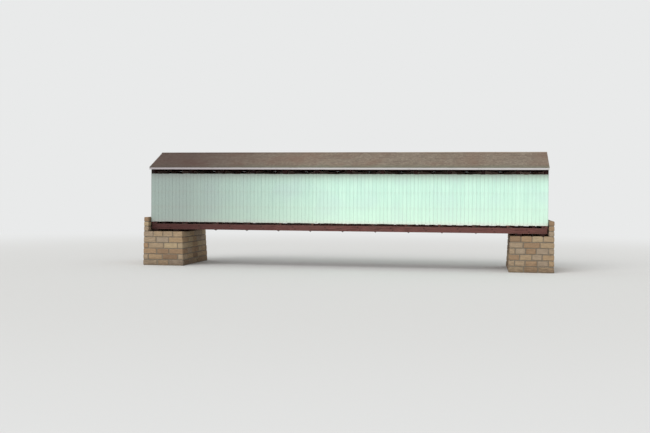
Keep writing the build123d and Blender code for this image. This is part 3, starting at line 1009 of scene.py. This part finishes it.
def shapeStones(piece, blocks, draw):
    # rock-faced: a sunk margin round every face, and hewn facets that stand out of it
    grid = np.round((cornersOf(piece) + 0.5) * 4).astype(int)
    repeat(piece, len(blocks), (2, 0, 0))
    limits = np.array(blocks)
    half = (limits[:, :, 1] - limits[:, :, 0] - stones["joint"]) / 2
    middle = limits.mean(axis=2)
    inner = half - stones["margin"]
    ridge = inner * draw.uniform(-0.5, 0.5, inner.shape)
    steps = np.stack([-half, -inner, ridge, inner, half], axis=2)
    place = np.stack([steps[:, axis, grid[:, axis]] for axis in range(3)], axis=2) + middle[:, None, :]
    outermost = (grid == 0) | (grid == 4)
    reached = outermost.sum(axis=1)
    sink = np.select([reached == 3, reached == 2], [stones["cornerSink"], 1.0], 0.0) * stones["stand"]
    phase = draw.uniform(0, 6.28, (3, len(blocks), 1))
    x, y, z = place[..., 0], place[..., 1], place[..., 2]
    wave = np.sin(6.1 * x + 3.3 * y + phase[0]) + np.sin(5.3 * y - 8.7 * z + phase[1])
    wave += np.sin(19 * z + 4.1 * x + phase[2])  # slow swells, 0.3 to 1 m long
    sink = sink + (wave / 6 + 0.5) * stones["rough"]
    sink = sink + draw.uniform(0, 1, sink.shape) * np.where(reached > 1, stones["chipped"], stones["hewn"])
    place -= outermost * np.sign(grid - 2) * sink[:, :, None]
    return place


def makeStones(end, foot, back, half, top):
    node = end + "_abutment"
    sign = outwards[end]
    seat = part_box("bed_timbers")[0][2]
    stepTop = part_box("stringers")[0][2]
    backwall = max(abs(corner[0]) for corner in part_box(end + "_portal_siding")) + stones["gapToPortal"]
    draw = np.random.default_rng(200 + sign)
    walls, above = [], []
    rows = evenRows(0, seat, stones["courseHeight"])
    for number, row in enumerate(rows[:-1]):
        walls += ringStones(draw, (foot, back), (-half, half), row, number)
    for strip in evenRows(foot, back, stones["width"]):
        walls += [(strip, run, rows[-1]) for run in runOfStones(draw, -half, half)]
    for row in evenRows(seat, top, stones["courseHeight"]):
        walls += [((backwall, back), run, row) for run in runOfStones(draw, -half, half)]
    for row in evenRows(seat, stepTop, stones["courseHeight"]):
        above += [((backwall - stones["stepDepth"], backwall), run, row)
                  for run in runOfStones(draw, -stones["stepHalf"], stones["stepHalf"])]
    piece = startBlock(end + "AbutmentStones", (-0.5, -0.5, -0.5), (0.5, 0.5, 0.5))
    editAll(piece)
    bpy.ops.mesh.subdivide(number_cuts=3)
    bpy.ops.object.mode_set(mode="OBJECT")
    place = shapeStones(piece, walls + above, draw)
    # the walls lean in by the batter, the backwall only sideways and the step not at all
    lower = place[:len(walls)]
    upright = np.minimum(lower[..., 2], seat)
    lean = np.where(lower[..., 2] > seat, 0, stones["batter"] * upright)
    lower[..., 0] += lean * (back - lower[..., 0]) / (back - foot)
    lower[..., 1] *= (half - stones["batter"] * lower[..., 2]) / half
    place[..., 2] = np.maximum(place[..., 2], 0)
    place[..., 0] *= sign
    setCorners(piece, place.reshape(-1, 3))
    if sign < 0:
        turnFaces(piece)
    finishPiece(piece, sandstone, [node], seed=210 + sign, angle=8)


def makeCore(end, back):
    # the CAD block, set back behind the stones' faces all round but for its foot
    node = end + "_abutment"
    sign = outwards[end]
    core = copyNode(node, end + "AbutmentCore")
    corners = cornersOf(core)
    recess = stones["recess"]
    atBack = np.abs(corners[:, 0]) > back - stones["batter"]
    corners[:, 0] += np.where(atBack, -recess, recess) * sign
    corners[:, 1] -= recess * np.sign(corners[:, 1])
    aboveFoot = corners[:, 2] > 0.1
    corners[:, 2] -= recess * aboveFoot
    setCorners(core, corners)
    finishPiece(core, mortar, [node], seed=220 + sign)


for end in ("left", "right"):
    low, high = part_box(end + "_abutment")
    foot, back = sorted((abs(low[0]), abs(high[0])))
    makeStones(end, foot, back, high[1], high[2])
    makeCore(end, back)
print("abutments made")


# Ironwork: the blocks and rods keep their CAD shape; nuts, bolt heads and washers are added
ironwork = {
    "edge": 0.003,
    "panel": 2.4125,
    "panels": 12,
    "rodSpread": 0.15,
    "plate": 0.02,
    "nutRadius": 0.032,
    "nutHeight": 0.032,
    "boltRadius": 0.023,
    "boltHeight": 0.018,
    "boltOffset": 0.08,
    "boltTurn": 0.15,
    "washer": 0.075,
    "washerThickness": 0.007,
    "washerEdge": 0.002,
    "easing": 0.12,  # a nut's bevel as a share of its height
}


def standingPrism(name, radius, height, foot):
    # a six-sided nut or bolt head with its corners eased
    deselect()
    bpy.ops.mesh.primitive_cylinder_add(vertices=6, radius=radius, depth=height,
                                        location=(0, 0, foot + height / 2))
    bpy.ops.object.transform_apply(location=True, rotation=False, scale=False)
    piece = nameNew(name)
    bevelAll(piece, height * ironwork["easing"])
    return piece


def makeNuts(side):
    # a nut on each rod's two ends, against the plates
    middle = sum(corner[1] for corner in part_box(side + "_rods")) / 2
    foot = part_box(side + "_bottom_chord")[0][2] - ironwork["plate"]
    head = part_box(side + "_top_chord")[1][2] + ironwork["plate"]
    points = [ironwork["panel"] * (k - ironwork["panels"] / 2) for k in range(1, ironwork["panels"])]
    rows = [(x, middle + way * ironwork["rodSpread"] / 2) for x in points for way in (-1, 1)]
    pieces = []
    for facing, z in (("down", foot), ("up", head)):
        nut = standingPrism("nut", ironwork["nutRadius"], ironwork["nutHeight"], 0)
        pieces.append(scatter(nut, [(x, y, z) for x, y in rows], facing, math.pi, seed=240))
    finishPiece(join(pieces, side + "Nuts"), rustedIron, [], seed=241 + (side == "rear"))


def makeBolts(side):
    # bolts through the chords' leaves and packing blocks at mid panel
    pieces = []
    away = "rear" if side == "front" else "front"
    offset, reach = ironwork["boltOffset"], ironwork["washer"] / 2
    for node, faces in (("_bottom_chord", (side, away)), ("_top_chord", (away,))):
        low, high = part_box(side + node)
        middle = (low[2] + high[2]) / 2
        for facing in faces:
            y = low[1] if facing == "front" else high[1]
            places = []
            for k in range(ironwork["panels"]):
                x = ironwork["panel"] * (k + 0.5 - ironwork["panels"] / 2)
                places += [(x - offset, y, middle + offset), (x + offset, y, middle - offset)]
            washer = startBlock("washer", (-reach, -reach, 0), (reach, reach, ironwork["washerThickness"]))
            bevelAll(washer, ironwork["washerEdge"])
            head = standingPrism("head", ironwork["boltRadius"], ironwork["boltHeight"],
                                 ironwork["washerThickness"])
            bolt = join([washer, head], "bolt")
            pieces.append(scatter(bolt, places, facing, ironwork["boltTurn"], seed=250))
    finishPiece(join(pieces, side + "Bolts"), rustedIron, [], seed=251 + (side == "rear"))


def makeIronwork():
    for number, node in enumerate(("front_angle_blocks", "rear_angle_blocks", "front_rods", "rear_rods")):
        dressNode(node, ironwork, rustedIron, 230 + number)
    for side in ("front", "rear"):
        makeNuts(side)
        makeBolts(side)


makeIronwork()
print("ironwork made")

placeFloor()
placeLight()
placeCamera()
